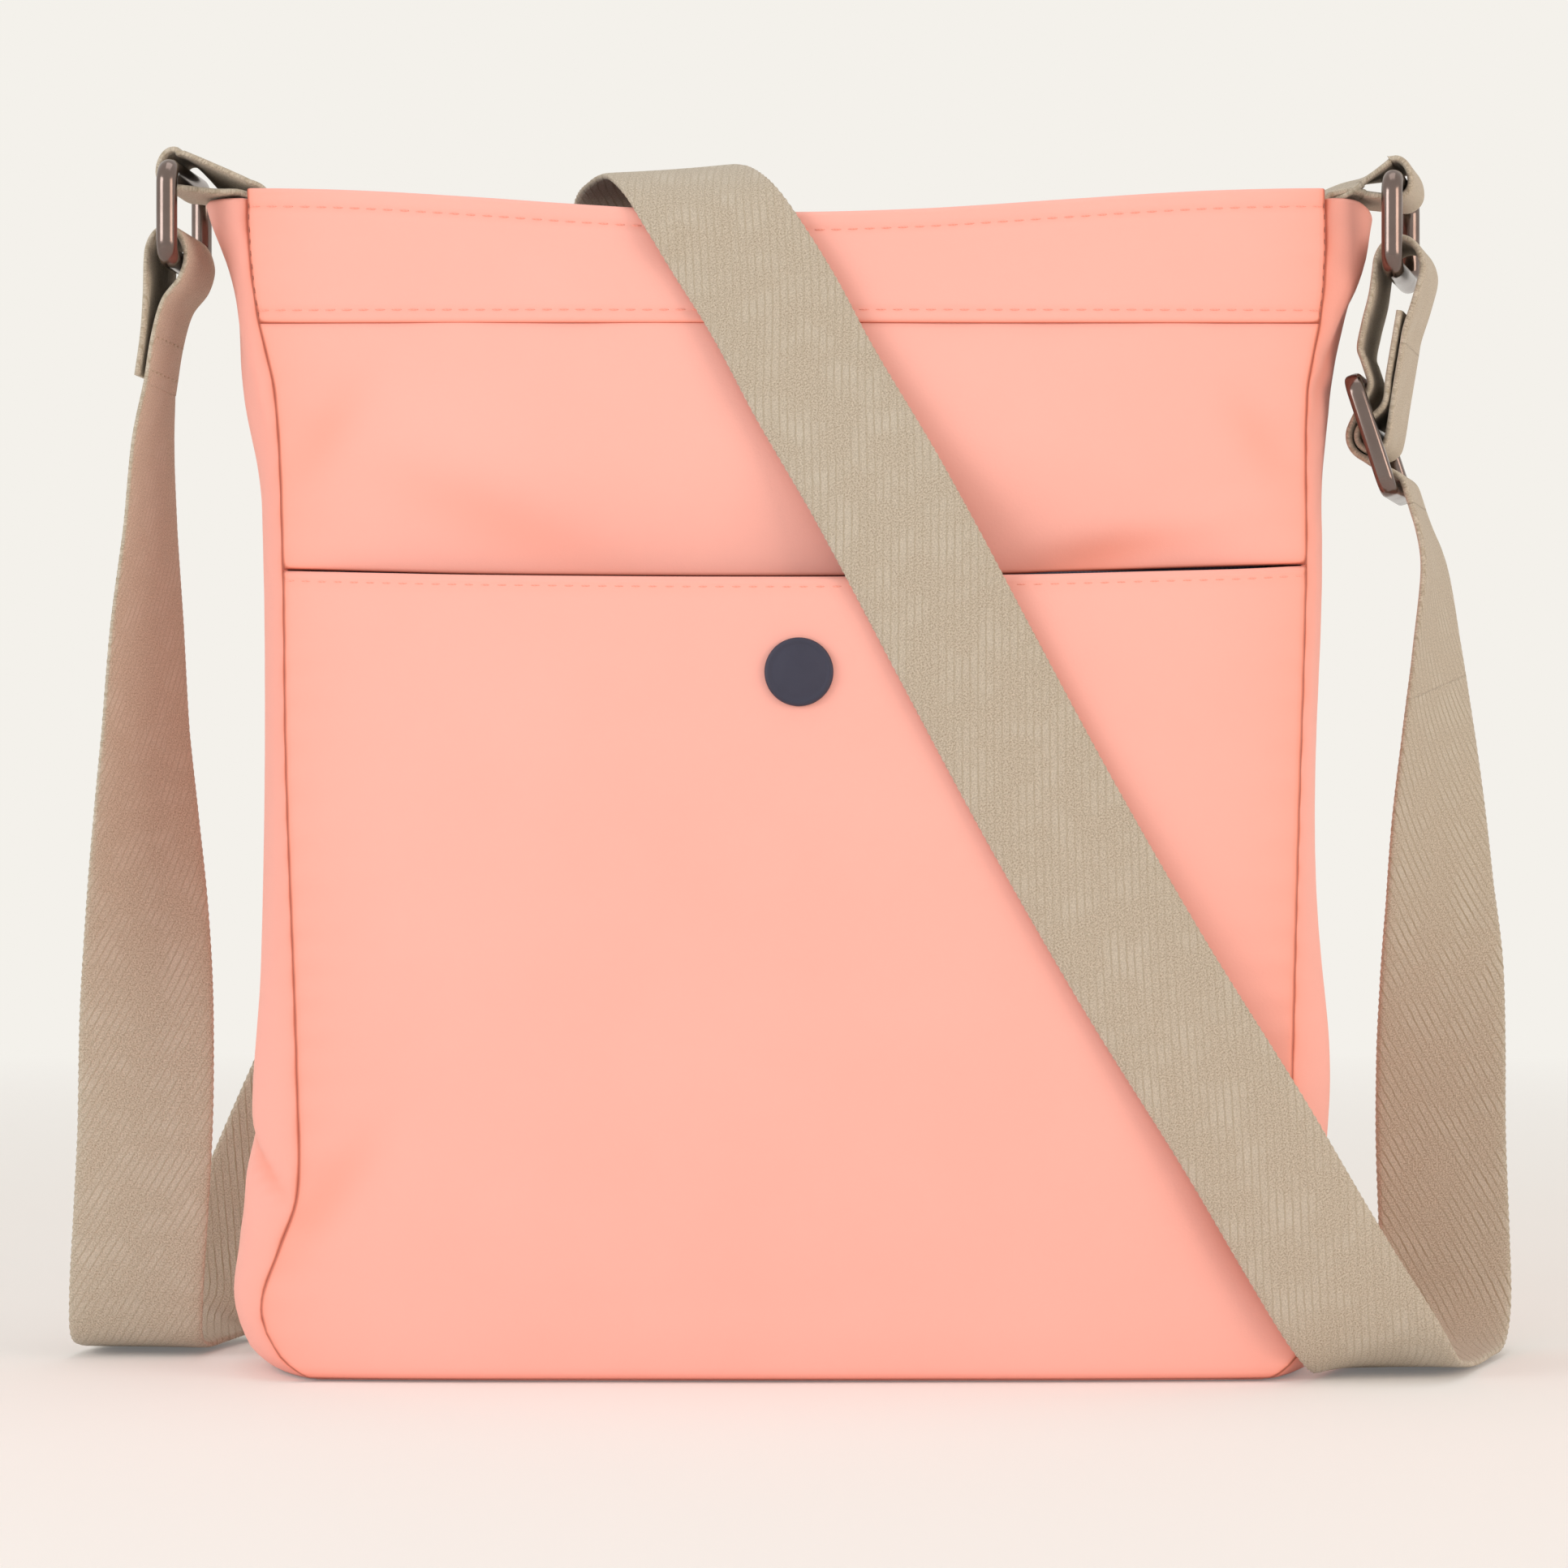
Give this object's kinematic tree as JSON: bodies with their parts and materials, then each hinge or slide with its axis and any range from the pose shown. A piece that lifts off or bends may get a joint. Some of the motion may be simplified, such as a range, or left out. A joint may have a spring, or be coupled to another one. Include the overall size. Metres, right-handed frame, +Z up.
{
  "type": "crossbody bag",
  "caption": "Upright crossbody bag of coated cloth with a full-width front slip pocket, a top zip, soft side walls and a long adjustable webbing strap on metal rings.",
  "frame": {"origin": "on the floor under the middle of the base panel", "axes": "+Z up, the pocket side faces -Y, +X to the right of someone facing the pocket"},
  "size_m": [0.3274, 0.094, 0.2708],
  "materials": {
    "coral_cloth": "smooth coated cloth",
    "navy_lining": "plain woven lining",
    "navy_zip": "woven tape with moulded teeth",
    "navy_button": "matte",
    "gunmetal": "polished gunmetal plating",
    "beige_webbing": "twill webbing"
  },
  "bodies": {
    "root": {"front_upper_panel": "coral_cloth", "front_top_band": "coral_cloth", "front_pocket_panel": "coral_cloth", "back_panel": "coral_cloth", "back_top_band": "coral_cloth", "gusset_left": "coral_cloth", "gusset_right": "coral_cloth", "base_panel": "coral_cloth", "zip_end_left": "coral_cloth", "zip_end_right": "coral_cloth", "pocket_lining": "navy_lining", "main_lining": "navy_lining", "zip_tape_front": "navy_zip", "zip_tape_back": "navy_zip", "zip_teeth_front": "navy_zip", "zip_teeth_back": "navy_zip", "button_cap": "navy_button", "button_washer": "gunmetal", "tab_left": "beige_webbing", "tab_right": "beige_webbing", "strap_left": "beige_webbing", "strap_middle": "beige_webbing", "strap_right": "beige_webbing"},
    "left_hanger": {"ring_left": "gunmetal", "strap_sewn_end": "beige_webbing"},
    "right_hanger": {"ring_right": "gunmetal", "strap_ring_loop": "beige_webbing"},
    "strap_adjuster": {"adjuster": "gunmetal", "strap_weave": "beige_webbing", "strap_adjuster_end": "beige_webbing"},
    "slider": {"zip_slider": "gunmetal"},
    "pull": {"zip_pull": "gunmetal"}
  },
  "joints": [
    {"name": "zip_slide", "type": "slide", "parent": "root", "child": "slider", "axis": [1, 0, 0], "range_m": [0, 0.185], "deforming": ["zip_tape_front", "zip_tape_back", "zip_teeth_front", "zip_teeth_back"]},
    {"name": "zip_pull_flip", "type": "hinge", "parent": "slider", "child": "pull", "pos_m": [-0.094, 0, 0.253], "axis": [0, -1, 0], "range_deg": [0, 165]},
    {"name": "left_ring_swing", "type": "hinge", "parent": "root", "child": "left_hanger", "pos_m": [-0.135, 0, 0.264], "axis": [0.0698, 0.9976, 0], "range_deg": [-5, 100], "deforming": ["strap_left"]},
    {"name": "right_ring_swing", "type": "hinge", "parent": "root", "child": "right_hanger", "pos_m": [0.1365, 0, 0.2618], "axis": [-0.2419, -0.9703, 0], "range_deg": [0, 100], "deforming": ["strap_right"]},
    {"name": "adjuster_slide", "type": "slide", "parent": "right_hanger", "child": "strap_adjuster", "axis": [0.2998, -0.0748, -0.9511], "range_m": [0, 0.025], "deforming": ["strap_ring_loop", "strap_right"]}
  ]
}
